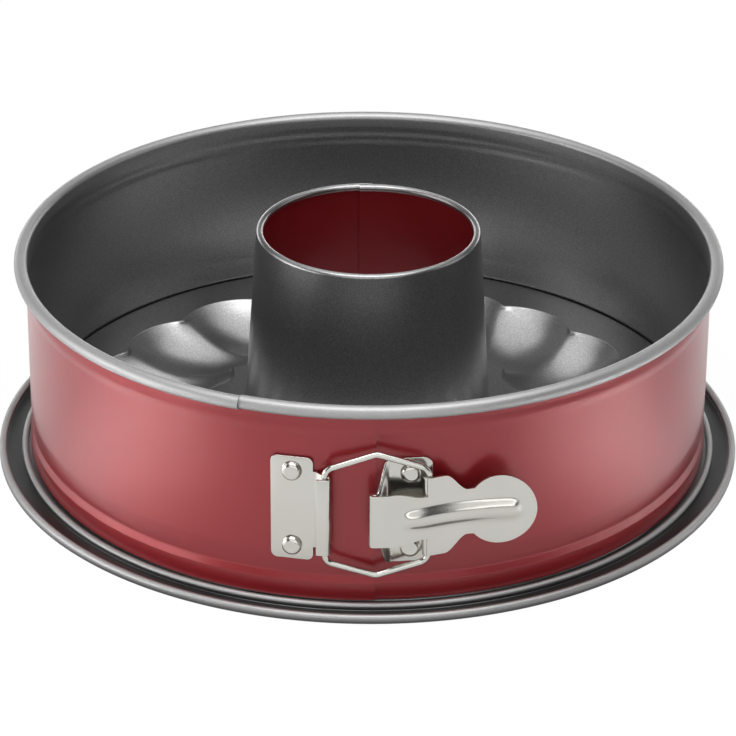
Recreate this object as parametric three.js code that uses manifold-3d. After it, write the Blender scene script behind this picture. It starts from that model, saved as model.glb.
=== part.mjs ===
// Springform pan with a tube base: a spring band, closed by a toggle clasp, stands on a fluted base.
// Millimetres, +Z up, origin under the middle of the base. The clasp faces -Y.
// Turns are degrees about the axis, from the seam at -Y and positive towards +X.
// Plan points are Vector2(x, out), where out is the distance from the axis towards the clasp.
import * as THREE from 'three';
import { mergeVertices } from 'three/addons/utils/BufferGeometryUtils.js';
import loadManifold from 'manifold-3d';

// Clearance between pieces that touch
const gap = 0.3;

// Spring band
const panRadius = 130; // inside of the wall at the seam
const bandSheet = 0.6;
const bandHeight = 78.3; // bottom edge to the top of the rolled rim
const lapTurn = 21; // how far the inner end runs on behind the outer one
const windTurn = 45; // over which the outer end winds out to lap the inner one
const rimRadius = 2.5; // outside of the rolled rim's section
const rimWrap = 315; // degrees of the roll
const neckDepth = 0.7; // the wall draws in just above the base
const neckRise = 0.6;
const neckBlend = 6;
const beadBulge = 0.4; // and swells below it, round the edge of the base
const beadDrop = 2.2;
const footFlare = 0.2;
const stiffenerDepth = 0.5; // shallow swell under the rim
const stiffenerHalf = 3.6;
const stiffenerDrop = 10.6;
const bandStep = 6; // degrees between stations

// Base
const baseSheet = 0.7;
const fluteCount = 19;
const fluteDepth = 11.2;
const fluteFloor = 0.4; // underside of the flutes above the table
const fluteOverlap = 0.594; // half a pitch over a scoop's half width
const fluteSwirl = 7; // degrees that a flute leans over its length
const fluteTurn = 15; // turn of the first ridge
const innerFlat = 10.8; // level ring round the tube
const outerFlat = 16; // level ring inside the edge
const edgeClearance = 0.5;
const edgeFillet = 0.9;
const grooveFloor = 1; // under the band's bottom edge
const ridgeOffset = 3.9; // from the edge of the plateau
const ridgeHeight = 3.2;
const ridgeHalf = 1.3;
const channelWidth = 6;
const lipHeight = 3.4;
const lipWidth = 2.7;
const stepsPerFlute = 4;

// Tube
const tubeSheet = 0.6;
const tubeHeight = 77.4; // above the plateau
const tubeFootRadius = 48.3; // outside, at the plateau
const tubeTopRadius = 43.2;
const tubeCurl = 1.4; // outside of the rim's section
const tubeFlange = 2.6;
const tubeSteps = 36;

// Clasp
const claspRise = 36.3; // middle of the clasp above the band's bottom edge
const claspSheet = 0.8;
const wireRadius = 1.2;
const bailPivotArc = 18.2; // left of the seam
const bailPivotRise = 5.1; // wire's centre over the band
const bailLegHalf = 18.4;
const bailApexHalf = 24.4;
const bailCorner = 3.8;
const plateArc = 29.7; // seam to the middle of the bail plate
const plateWidth = 15.4;
const plateHalf = 20.6;
const plateCorner = 2.6;
const knuckleHalf = 15.2;
const knuckleReturn = 2.7;
const knuckleStep = 0.2; // from the plate's edge to the narrower knuckle
const bracketArc = 12.2; // seam to the middle of the lever bracket
const bracketWidth = 15.6;
const bracketHalf = 20.8;
const bracketCorner = 3.2;
const flangeBend = 1.6;
const flangeLead = 30; // direction from which the flange meets its pin
const pinArc = 0.6; // left of the seam
const pinRise = 7.8; // over the band
const pinRadius = 1;
const curlWrap = 95; // degrees that the lever reaches round its pin
const hookArc = 18.6; // right of the seam
const hookRise = 5.3; // wire's centre over the band
const hookWrap = 70; // degrees that a hook reaches round the wire
const leverHalf = 10.3;
const waistHalf = 8.4;
const waistReach = 2; // before the hooks
const waistTaper = 9;
const wingHalf = 15.6;
const wingWidth = 6.8;
const wingLead = 0.5; // of the wings before the hooks
const wingEdge = 0.02; // over which the waist steps out to the wings
const neckHalf = 9;
const neckReach = 14.2; // hooks to the narrowest place
const thumbHalf = 13.6; // half height of the thumb plate
const thumbLength = 12.2; // and half length
const thumbReach = 25.6; // hooks to the middle of the thumb plate
const leverSlope = 0.25; // how fast the lever nears the wall at the hooks
const leverFlare = 0.0097; // how fast it bends away again to the thumb plate
const ribHalf = 5;
const ribHeight = 1.6;
const ribStart = 10.5; // before the hooks
const ribEnd = 8; // past the middle of the thumb plate
const ribRamp = 4; // length of the slope at each end
const leverStep = 3; // between stations
const rivetSpacing = 30;
const rivetHead = 3.7;
const rivetFlat = 1.9; // radius of the head's level top
const rivetDome = 1.8;
const rivetShank = 1.3;

// Heights and radii that follow
const plateau = fluteFloor + baseSheet + fluteDepth;
const bandBottom = Math.max(ridgeHeight, lipHeight) + gap;
const bandTop = bandBottom + bandHeight;
const rimZ = bandTop - rimRadius;
const claspZ = bandBottom + claspRise;
const edgeRadius = panRadius - edgeClearance;
const fluteInner = tubeFootRadius + innerFlat;
const fluteOuter = edgeRadius - outerFlat;
const lapShift = bandSheet + gap;
const innerWall = panRadius + bandSheet; // outside of the band's inner end
const outerWall = innerWall + lapShift; // outside of the band's outer end

const wasm = await loadManifold();
wasm.setup();

const { degToRad, radToDeg, lerp, smoothstep } = THREE.MathUtils;
const point = (x, y) => new THREE.Vector2(x, y);
const turnAlong = (arc, radius) => radToDeg(arc / radius);

// Place in plan at a turn and radius
function planAt(turn, radius) {
  return point(radius * Math.sin(degToRad(turn)), radius * Math.cos(degToRad(turn)));
}

// Points on an arc, by angles in degrees
function arc(centre, radius, from, to, steps) {
  return Array.from({ length: steps + 1 }, (_, i) => {
    const angle = degToRad(lerp(from, to, i / steps));
    return point(centre.x + radius * Math.cos(angle), centre.y + radius * Math.sin(angle));
  });
}

// Unit normals to the left of an open path, lengthened at its bends
function pathNormals(path) {
  const sides = path.slice(1).map((end, i) => {
    const along = end.clone().sub(path[i]).normalize();
    return point(-along.y, along.x);
  });
  return path.map((_, i) => {
    const before = sides[Math.max(i - 1, 0)];
    const after = sides[Math.min(i, sides.length - 1)];
    const middle = before.clone().add(after).normalize();
    return middle.divideScalar(Math.max(middle.dot(before), 0.5));
  });
}

// Closed section of a sheet that follows a path
function sheetSection(path, thickness) {
  const normals = pathNormals(path);
  const side = (offset) => path.map((p, i) => p.clone().addScaledVector(normals[i], offset));
  return [...side(thickness / 2), ...side(-thickness / 2).reverse()];
}

// Geometry from points and triangles, turned so that its faces point out
function facesOut(points, faces) {
  let volume = 0;
  for (const [a, b, c] of faces) {
    volume += points[a].dot(points[b].clone().cross(points[c]));
  }
  const geometry = new THREE.BufferGeometry().setFromPoints(points);
  geometry.setIndex(faces.flatMap(([a, b, c]) => (volume < 0 ? [a, c, b] : [a, b, c])));
  return geometry;
}

// Solid through a row of rings of equal counts. With an outline the row is open and gets end caps.
function loft(rings, outline) {
  const count = rings[0].length;
  const spans = outline ? rings.length - 1 : rings.length;
  const faces = [];
  for (let i = 0; i < spans; i += 1) {
    const near = i * count;
    const far = ((i + 1) % rings.length) * count;
    for (let j = 0; j < count; j += 1) {
      const k = (j + 1) % count;
      faces.push([near + j, near + k, far + k], [near + j, far + k, far + j]);
    }
  }
  if (outline) {
    const wound = THREE.ShapeUtils.isClockWise(outline);
    for (const [a, b, c] of THREE.ShapeUtils.triangulateShape(outline, [])) {
      const start = wound ? [a, b, c] : [c, b, a];
      const end = wound ? [c, b, a] : [a, b, c];
      faces.push(start, end.map((n) => n + spans * count));
    }
  }
  return facesOut(rings.flat(), faces);
}

// Ring of 3-D points from a section of radii and heights, at one turn
function sectionRing(section, turnOf, shift = 0) {
  return section.map((p) => {
    const at = planAt(turnOf(p), p.x + shift);
    return new THREE.Vector3(at.x, -at.y, p.y);
  });
}

// Upright sheet along a plan path. Each station has a place, a half height, a middle and a rib's rise.
function uprightSheet(stations, thickness, ribWidth = 0) {
  const normals = pathNormals(stations.map((s) => s.at));
  const flat = (s) => {
    const rib = Math.min(ribWidth, 0.8 * s.half);
    const across = ribWidth ? [-s.half, -rib, -0.6 * rib, 0.6 * rib, rib, s.half] : [-s.half, s.half];
    const rise = (v) => (Math.abs(v) < 0.9 * rib ? s.rise : 0);
    const face = (offset) => across.map((v) => point(offset + rise(v), s.middle + v));
    return [...face(thickness / 2), ...face(-thickness / 2).reverse()];
  };
  const rings = stations.map((s, i) => flat(s).map((p) => {
    const at = s.at.clone().addScaledVector(normals[i], p.x);
    return new THREE.Vector3(at.x, -at.y, p.y);
  }));
  return loft(rings, flat(stations[0]));
}

// Stations of an upright sheet with one half height
function stationsAt(path, half, middle = claspZ) {
  return path.map((at) => ({ at, half, middle, rise: 0 }));
}

// Closed solid for joining and cutting
function solid(geometry) {
  const bare = geometry.clone();
  bare.deleteAttribute('normal');
  bare.deleteAttribute('uv');
  const merged = mergeVertices(bare, 1e-4);
  const mesh = new wasm.Mesh({
    numProp: 3,
    vertProperties: merged.attributes.position.array,
    triVerts: new Uint32Array(merged.index.array),
  });
  return new wasm.Manifold(mesh);
}

function geometryOf(body) {
  const mesh = body.getMesh();
  const geometry = new THREE.BufferGeometry();
  geometry.setAttribute('position', new THREE.Float32BufferAttribute(mesh.vertProperties, 3));
  geometry.setIndex([...mesh.triVerts]);
  return geometry;
}

const cut = (geometry, tools) => (
  geometryOf(tools.reduce((body, tool) => body.subtract(solid(tool)), solid(geometry))));
const join = (geometry, others) => (
  geometryOf(others.reduce((body, other) => body.add(solid(other)), solid(geometry))));

// Values from one to another in even steps
function evenSteps(from, to, step) {
  const count = Math.ceil((to - from) / step);
  return Array.from({ length: count + 1 }, (_, i) => lerp(from, to, i / count));
}

// Band: wall, bead and rolled rim are one sheet, and the strip winds out near its outer end.
function bandPath() {
  const wall = panRadius + bandSheet / 2;
  const roll = rimRadius - bandSheet / 2;
  const neckZ = plateau + neckRise;
  const stiffenerZ = bandTop - stiffenerDrop;
  return [
    point(wall + footFlare, bandBottom),
    point(wall + beadBulge, plateau - beadDrop),
    point(wall - neckDepth, neckZ),
    point(wall, neckZ + neckBlend),
    point(wall, stiffenerZ - stiffenerHalf),
    point(wall + stiffenerDepth, stiffenerZ),
    point(wall, stiffenerZ + stiffenerHalf),
    ...arc(point(wall + roll, rimZ), roll, 180, 180 - rimWrap, 7),
  ];
}

function bandBetween(from, to) {
  const section = sheetSection(bandPath(), bandSheet);
  const turns = evenSteps(from, to, bandStep);
  const lapStart = 360 - lapTurn;
  const rings = turns.map((turn) => (
    sectionRing(section, () => turn, lapShift * smoothstep(turn, lapStart - windTurn, lapStart))));
  return loft(rings, section);
}

// Space that the inner end's rim needs above the outer end
function lapNotch() {
  const low = rimZ - rimRadius - gap;
  const high = bandTop + rimRadius;
  const near = panRadius - rimRadius;
  const far = outerWall + 3 * rimRadius;
  const section = [point(near, low), point(far, low), point(far, high), point(near, high)];
  const turns = evenSteps(360 - lapTurn - turnAlong(gap, panRadius), 360 + bandStep, bandStep);
  return loft(turns.map((turn) => sectionRing(section, () => turn)), section);
}

// Base: flutes are round scoops, widest and deepest in the middle of each pitch.
function basePath(across) {
  const width = Math.sqrt(1 - (2 * across * fluteOverlap) ** 2);
  const middle = (fluteInner + fluteOuter) / 2;
  const reach = ((fluteOuter - fluteInner) / 2) * width;
  const half = baseSheet / 2;
  const level = plateau - half;
  const scoop = evenSteps(-1, 1, 1 / 3)
    .map((share) => point(middle + reach * share, level - fluteDepth * width ** 2 * (1 - share ** 2)));
  const edge = edgeRadius - half;
  const ridge = edgeRadius + ridgeOffset;
  const lipInner = ridge + ridgeHalf + channelWidth;
  const lipOuter = lipInner + lipWidth - half;
  return [
    point(tubeFootRadius + gap, level),
    ...scoop,
    point(edge - edgeFillet, level),
    point(edge, level - edgeFillet),
    point(edge, grooveFloor + edgeFillet),
    point(edge + edgeFillet, grooveFloor + half),
    point(ridge - ridgeHalf, grooveFloor + half),
    point(ridge - ridgeHalf / 2, ridgeHeight - half),
    point(ridge + ridgeHalf / 2, ridgeHeight - half),
    point(ridge + ridgeHalf, half),
    point(lipInner, half),
    point(lipInner + lipWidth / 4, lipHeight - half),
    point(lipOuter - lipWidth / 4, lipHeight - half),
    point(lipOuter, lipHeight / 2),
    point(lipOuter, half),
  ];
}

function baseGeometry() {
  const pitch = 360 / fluteCount;
  const lean = (radius) => fluteSwirl * (1 - THREE.MathUtils.clamp(
    (radius - fluteInner) / (fluteOuter - fluteInner), 0, 1));
  const rings = Array.from({ length: fluteCount * stepsPerFlute }, (_, i) => {
    const across = (i % stepsPerFlute) / stepsPerFlute - 0.5;
    const turn = fluteTurn + (pitch * i) / stepsPerFlute;
    return sectionRing(sheetSection(basePath(across), baseSheet), (p) => turn - lean(p.x));
  });
  return loft(rings);
}

// Tube: a cone of sheet with its rim rolled in and its foot flanged out under the base
function tubeGeometry() {
  const half = tubeSheet / 2;
  const foot = plateau - baseSheet - gap - half;
  const roll = tubeCurl - half;
  const top = plateau + tubeHeight - tubeCurl;
  const section = sheetSection([
    point(tubeFootRadius - half + tubeFlange, foot),
    point(tubeFootRadius - half, foot),
    ...arc(point(tubeTopRadius - half - roll, top), roll, 0, 270, 6),
  ], tubeSheet);
  const turns = evenSteps(0, 360, 360 / tubeSteps).slice(1);
  return loft(turns.map((turn) => sectionRing(section, () => turn)));
}

// Clasp: places of its three pivots in plan
const bailPivotRadius = outerWall + bailPivotRise;
const bailPivotTurn = -turnAlong(bailPivotArc, bailPivotRadius);
const pinDistance = innerWall + pinRise;
const pinTurn = -turnAlong(pinArc, innerWall);
const hookRadius = innerWall + hookRise;
const hookTurn = turnAlong(hookArc, hookRadius);
const plateTurn = -turnAlong(plateArc, outerWall);
const bracketTurn = turnAlong(bracketArc, innerWall);
const eyeRadius = wireRadius + gap + claspSheet / 2;
const curlRadius = pinRadius + gap + claspSheet / 2;
const pinReach = degToRad(pinTurn - hookTurn) * hookRadius; // hooks to the pin, along the lever

// Stations that round off the free end of a plate, from its edge inward
function roundedEnd(edge, inward, half, corner) {
  return arc(point(0, 0), corner, 180, 90, 3).map((p) => ({
    at: point(edge.x + inward * (corner + p.x), edge.y),
    half: half - corner + p.y,
    middle: claspZ,
    rise: 0,
  }));
}

// Holes and rivets lie on the -Y axis of a clasp plate, one on each side of its middle.
const rivetSides = [-1, 1];

function rivetHole(side, from, to) {
  const hole = new THREE.CylinderGeometry(rivetShank + gap, rivetShank + gap, to - from, 12);
  return hole.translate(0, -(from + to) / 2, claspZ + (side * rivetSpacing) / 2);
}

function rivetGeometry(inner, seat) {
  const swell = rivetHead - rivetFlat;
  const dome = arc(point(0, 0), 1, 0, 90, 3)
    .map((p) => point(rivetFlat + swell * p.x, seat + rivetDome * p.y));
  const profile = [
    point(0, inner), point(rivetShank, inner), point(rivetShank, seat), ...dome, point(0, seat + rivetDome),
  ];
  return new THREE.LatheGeometry(profile, 16).rotateX(Math.PI);
}

// Bail plate, level with the band at its own middle, with a knuckle rolled round the wire
function bailPlateGeometry() {
  const level = outerWall + gap + claspSheet / 2;
  const eye = planAt(bailPivotTurn - plateTurn, bailPivotRadius);
  const right = point(plateWidth / 2, level);
  const wrap = [
    point(right.x + knuckleStep, level),
    ...arc(eye, eyeRadius, 265, 450, 8),
    point(eye.x - knuckleReturn, eye.y + eyeRadius),
  ];
  const sheet = uprightSheet([
    ...roundedEnd(point(-plateWidth / 2, level), 1, plateHalf, plateCorner),
    ...stationsAt([right], plateHalf),
    ...stationsAt(wrap, knuckleHalf),
  ], claspSheet);
  return cut(sheet, rivetSides.map((side) => rivetHole(side, level - claspSheet, level + claspSheet)));
}

// Lever bracket, level with the band at its own middle, with a flange that carries the lever's pin
function bracketGeometry() {
  const level = innerWall + gap + claspSheet / 2;
  const pin = planAt(pinTurn - bracketTurn, pinDistance);
  const lead = point(Math.cos(degToRad(flangeLead)), -Math.sin(degToRad(flangeLead)));
  const bend = point(-bracketWidth / 2 + flangeBend, level);
  const reach = (pin.y - level) / 2;
  const flange = new THREE.CubicBezierCurve(
    bend,
    point(bend.x - 2 * flangeBend, level),
    pin.clone().addScaledVector(lead, reach),
    pin,
  ).getPoints(8);
  const taper = flange.map((at, i, all) => ({
    at,
    half: lerp(bracketHalf, leverHalf, smoothstep(i / (all.length - 1), 0.2, 0.9)),
    middle: claspZ,
    rise: 0,
  }));
  const edge = roundedEnd(point(bracketWidth / 2, level), -1, bracketHalf, bracketCorner);
  const sheet = uprightSheet([...edge, ...taper], claspSheet);
  const pinBody = new THREE.CylinderGeometry(pinRadius, pinRadius, 2 * leverHalf, 16);
  pinBody.rotateX(Math.PI / 2).translate(pin.x, -pin.y, claspZ);
  const holes = rivetSides.map((side) => rivetHole(side, level - claspSheet, level + claspSheet));
  return join(cut(sheet, holes), [pinBody]);
}

// Place on the lever's curved sheet, by the distance along it from the hooks
function leverAt(reach) {
  const hookLevel = hookRadius + eyeRadius;
  const pinLevel = pinDistance + curlRadius;
  const pinBend = (pinLevel - hookLevel + leverSlope * pinReach) / pinReach ** 2;
  const bend = reach < 0 ? pinBend : leverFlare;
  const turn = hookTurn + turnAlong(reach, hookRadius);
  return planAt(turn, hookLevel - leverSlope * reach + bend * reach ** 2);
}

// Half height of the lever: body, waist, wings, neck and round thumb plate
function leverHalfAt(reach) {
  if (reach < -waistReach) {
    return lerp(waistHalf, leverHalf, smoothstep(-reach, waistReach, waistReach + waistTaper));
  }
  if (reach < -wingLead) return waistHalf;
  if (reach <= wingWidth) return wingHalf;
  const round = thumbHalf * Math.sqrt(Math.max(1 - ((reach - thumbReach) / thumbLength) ** 2, 0));
  const shoulder = lerp(wingHalf, neckHalf, smoothstep(reach, wingWidth, neckReach));
  return reach < thumbReach ? Math.max(round, shoulder) : round;
}

function leverGeometry() {
  const ribReach = thumbReach + ribEnd;
  const reaches = [
    ...evenSteps(pinReach, -waistReach, leverStep).slice(1),
    -wingLead - wingEdge,
    -wingLead,
    ...evenSteps(wingWidth, neckReach, leverStep),
    ...arc(point(thumbReach, 0), thumbLength, 130, 8, 9).map((p) => p.x),
  ];
  const ribRise = (reach) => ribHeight
    * smoothstep(reach, -ribStart, ribRamp - ribStart) * smoothstep(-reach, -ribReach, ribRamp - ribReach);
  const plate = reaches.map((reach) => (
    { at: leverAt(reach), half: leverHalfAt(reach), middle: claspZ, rise: ribRise(reach) }));
  const out = 90 - pinTurn;
  const curl = arc(planAt(pinTurn, pinDistance), curlRadius, out + curlWrap, out, 6);
  const body = uprightSheet([...stationsAt(curl, leverHalf), ...plate], claspSheet, ribHalf);
  const over = 90 - hookTurn;
  const hook = arc(planAt(hookTurn, hookRadius), eyeRadius, over + hookWrap, over, 5);
  const hookHalf = (wingHalf - waistHalf) / 2;
  const hooks = [-1, 1].map((side) => (
    uprightSheet(stationsAt(hook, hookHalf, claspZ + side * (waistHalf + hookHalf)), claspSheet)));
  return join(body, hooks);
}

// Wire bail: a closed six-sided loop with round bends, in the upright plane through its two legs
function bailGeometry() {
  const start = planAt(bailPivotTurn, bailPivotRadius);
  const across = planAt(hookTurn, hookRadius).sub(start);
  const width = across.length();
  across.normalize();
  const outward = point(-across.y, across.x);
  const corners = [
    point(0, -bailLegHalf), point(0, bailLegHalf), point(width / 2, bailApexHalf),
    point(width, bailLegHalf), point(width, -bailLegHalf), point(width / 2, -bailApexHalf),
  ];
  const path = corners.flatMap((corner, i) => {
    const before = corners.at(i - 1).clone().sub(corner).normalize();
    const after = corners[(i + 1) % corners.length].clone().sub(corner).normalize();
    const setback = bailCorner / Math.tan(Math.acos(before.dot(after)) / 2);
    return new THREE.QuadraticBezierCurve(
      corner.clone().addScaledVector(before, setback),
      corner,
      corner.clone().addScaledVector(after, setback),
    ).getPoints(3);
  });
  const rings = path.map((p, i) => {
    const along = path[(i + 1) % path.length].clone().sub(path.at(i - 1)).normalize();
    return arc(point(0, 0), wireRadius, 0, 315, 7).map((q) => {
      const flat = p.clone().addScaledVector(point(-along.y, along.x), q.x);
      const at = start.clone().addScaledVector(across, flat.x).addScaledVector(outward, q.y);
      return new THREE.Vector3(at.x, -at.y, claspZ + flat.y);
    });
  });
  return loft(rings);
}

// Finishes: enamel-red band, dark grey coating and bright nickel
const finish = {
  red: { color: 0x8c2a30, roughness: 0.42, metalness: 0.35 },
  grey: { color: 0x6b6a6c, roughness: 0.38, metalness: 0.6 },
  nickel: { color: 0xc9c6bc, roughness: 0.3, metalness: 0.9 },
};

function addPiece(parent, name, geometry, look) {
  const mesh = new THREE.Mesh(geometry, new THREE.MeshStandardMaterial(look));
  mesh.name = name;
  parent.add(mesh);
  return mesh;
}

const pan = new THREE.Group();
addPiece(pan, 'base_disc', baseGeometry(), finish.grey);
addPiece(pan, 'tube', tubeGeometry(), finish.grey);

// Band in two halves, which part at the back behind a fine slit
const slit = turnAlong(gap / 2, panRadius);
const rightHoles = rivetSides.map((side) => (
  rivetHole(side, panRadius - bandSheet, outerWall).rotateZ(degToRad(bracketTurn))));
const leftHoles = rivetSides.map((side) => (
  rivetHole(side, panRadius, outerWall + bandSheet).rotateZ(degToRad(plateTurn))));
addPiece(pan, 'band_right', cut(bandBetween(-lapTurn, 180 - slit), rightHoles), finish.red);
addPiece(pan, 'band_left', cut(bandBetween(180 + slit, 360), [lapNotch(), ...leftHoles]), finish.red);

// The two riveted plates of the clasp, each in a group turned to its own place
const claspLeft = new THREE.Group();
claspLeft.rotation.z = degToRad(plateTurn);
addPiece(claspLeft, 'bail_plate', bailPlateGeometry(), finish.nickel);
const claspRight = new THREE.Group();
claspRight.rotation.z = degToRad(bracketTurn);
addPiece(claspRight, 'lever_bracket', bracketGeometry(), finish.nickel);
for (const side of rivetSides) {
  const level = side < 0 ? 'lower' : 'upper';
  const height = claspZ + (side * rivetSpacing) / 2;
  const left = rivetGeometry(panRadius + lapShift, outerWall + claspSheet + 2 * gap);
  const right = rivetGeometry(panRadius, innerWall + claspSheet + 2 * gap);
  addPiece(claspLeft, `rivet_left_${level}`, left, finish.nickel).position.z = height;
  addPiece(claspRight, `rivet_right_${level}`, right, finish.nickel).position.z = height;
}
pan.add(claspLeft, claspRight);
addPiece(pan, 'wire_bail', bailGeometry(), finish.nickel);
addPiece(pan, 'lever', leverGeometry(), finish.nickel);

export default pan;
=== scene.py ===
"""Springform pan with a tube base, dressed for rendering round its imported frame.

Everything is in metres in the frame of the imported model: +Z up, the clasp towards -Y, origin under the
middle of the base. Turns are degrees about the axis, from the seam at -Y and positive towards +X.
"""
from math import acos, atan2, ceil, cos, degrees, hypot, pi, radians, sin, sqrt, tan

import bmesh
import bpy
from bpy.props import FloatProperty, FloatVectorProperty, IntProperty, PointerProperty
from bpy.types import Operator, Panel, PropertyGroup
from mathutils import Matrix, Vector


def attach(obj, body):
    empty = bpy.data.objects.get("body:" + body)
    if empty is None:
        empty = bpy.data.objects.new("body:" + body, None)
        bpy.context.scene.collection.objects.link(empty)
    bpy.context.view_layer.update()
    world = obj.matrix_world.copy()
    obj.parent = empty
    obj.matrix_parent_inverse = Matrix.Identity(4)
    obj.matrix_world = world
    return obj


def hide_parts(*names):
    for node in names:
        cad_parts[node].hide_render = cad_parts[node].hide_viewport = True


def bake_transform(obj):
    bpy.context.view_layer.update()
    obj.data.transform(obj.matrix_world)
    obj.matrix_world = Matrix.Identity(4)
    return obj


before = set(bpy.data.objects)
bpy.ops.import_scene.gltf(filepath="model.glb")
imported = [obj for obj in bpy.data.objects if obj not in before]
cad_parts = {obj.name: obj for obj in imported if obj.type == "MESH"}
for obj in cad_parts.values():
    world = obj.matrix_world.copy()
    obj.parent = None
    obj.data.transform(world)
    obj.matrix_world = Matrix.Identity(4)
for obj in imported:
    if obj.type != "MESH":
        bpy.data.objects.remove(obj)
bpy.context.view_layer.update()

bl_info = {
    "name": "Springform pan with tube base",
    "version": (1, 0, 0),
    "blender": (4, 5, 0),
    "location": "3D View > Sidebar > Pan",
    "description": "Builds the pan's band, base, tube and toggle clasp round the packed frame",
    "category": "Object",
}

MM = 0.001
WELD = 1e-6  # nearer points are one point
ON_PLACE = 1e-5  # a point this near to a place lies on it
ROUNDING = 1e-6  # slack in counts and shares
SHARP = 50  # degrees between a sheet's faces
EDGE_ROUND = 0.12 * MM  # of the clasp's sheets
WHITE = (1, 1, 1, 1)


def mm(name, words, value):
    """A size for the sidebar, given in millimetres and kept in metres."""
    return FloatProperty(name=name, description=words, default=value * MM, unit="LENGTH", precision=5)


def number(name, words, value):
    """An angle in degrees or a plain number for the sidebar."""
    return FloatProperty(name=name, description=words, default=value)


def colour(name, words, value):
    """A linear colour for the sidebar."""
    return FloatVectorProperty(name=name, description=words, default=value, size=3, subtype="COLOR")


class BandSizes(PropertyGroup):
    """Sizes of the spring band."""

    radius: mm("Radius", "Inside of the wall at the seam", 130)
    sheet: mm("Sheet", "Thickness of the band", 0.6)
    lap_gap: mm("Lap gap", "Clearance between the lapped ends", 0.3)
    bottom: mm("Bottom", "Height of the bottom edge", 3.4)
    bead: mm("Bead", "Height of the sharp turn below the neck", 10.1)
    bead_bulge: mm("Bead bulge", "How far the bead stands out", 0.4)
    foot_flare: mm("Foot flare", "How far the bottom edge stands out", 0.5)
    neck: mm("Neck", "Height of the drawn-in neck", 12.9)
    neck_depth: mm("Neck depth", "How far the neck draws in", 0.5)
    neck_blend: mm("Neck blend", "Height over which the neck runs out", 8.0)
    swell: mm("Swell", "Height of the stiffening swell", 71.4)
    swell_half: mm("Swell half height", "Half height of the stiffening swell", 3.6)
    swell_depth: mm("Swell depth", "How far the swell stands out", 0.4)
    rim: mm("Rim", "Height of the middle of the rolled rim", 79.5)
    rim_radius: mm("Rim radius", "Outside of the rolled rim's section", 2.5)
    rim_wrap: number("Rim wrap", "Degrees of the rim's roll", 315)
    lap: number("Lap", "Degrees that the ends overlap", 21)
    wind: number("Wind", "Degrees over which the outer end winds out", 45)
    split: number("Split", "Turn at which the strip's two stretches meet", 272)
    step: number("Step", "Degrees between stations", 1.5)


class BaseSizes(PropertyGroup):
    """Sizes of the fluted base."""

    sheet: mm("Sheet", "Thickness of the base", 0.7)
    plateau: mm("Plateau", "Height of the level top", 12.3)
    hole: mm("Hole", "Radius of the hole for the tube", 48.6)
    flutes: IntProperty(name="Flutes", description="Scoops round the tube", default=19)
    flute_inner: mm("Flute inner", "Radius where the scoops start", 59.1)
    flute_outer: mm("Flute outer", "Radius where the scoops end", 113.5)
    flute_depth: mm("Flute depth", "Depth of the scoops", 11.2)
    flute_overlap: number("Flute overlap", "Half a pitch over a scoop's half width", 0.594)
    flute_swirl: number("Swirl", "Degrees that a scoop leans over its length", 7)
    flute_turn: number("First ridge", "Turn of the first ridge", 15)
    edge: mm("Edge", "Radius of the plateau's edge", 129.5)
    edge_fillet: mm("Edge fillet", "Rounding of the plateau's edge", 0.9)
    groove: mm("Groove", "Height of the groove's floor", 1.0)
    ridge: mm("Ridge", "Radius of the ridge outside the band", 133.4)
    ridge_height: mm("Ridge height", "Top of the ridge", 3.2)
    ridge_half: mm("Ridge half width", "Half width of the ridge", 1.3)
    lip_inner: mm("Lip inner", "Inner radius of the rolled lip", 140.7)
    lip_width: mm("Lip width", "Width of the rolled lip", 2.7)
    lip_height: mm("Lip height", "Top of the rolled lip", 3.4)


class TubeSizes(PropertyGroup):
    """Sizes of the centre tube."""

    sheet: mm("Sheet", "Thickness of the tube", 0.6)
    foot: mm("Foot", "Height of the flange under the base", 11.0)
    foot_radius: mm("Foot radius", "Outside at the foot", 48.3)
    flange: mm("Flange", "Width of the flange", 2.6)
    top: mm("Top", "Height of the rim's top", 89.7)
    top_radius: mm("Top radius", "Outside at the rim", 43.2)
    curl: mm("Curl", "Outside of the rim's section", 1.4)
    seam_turn: number("Seam", "Turn of the lapped seam", 176.9)
    seam_lap: number("Seam lap", "Degrees that the ends overlap", 7)


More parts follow.
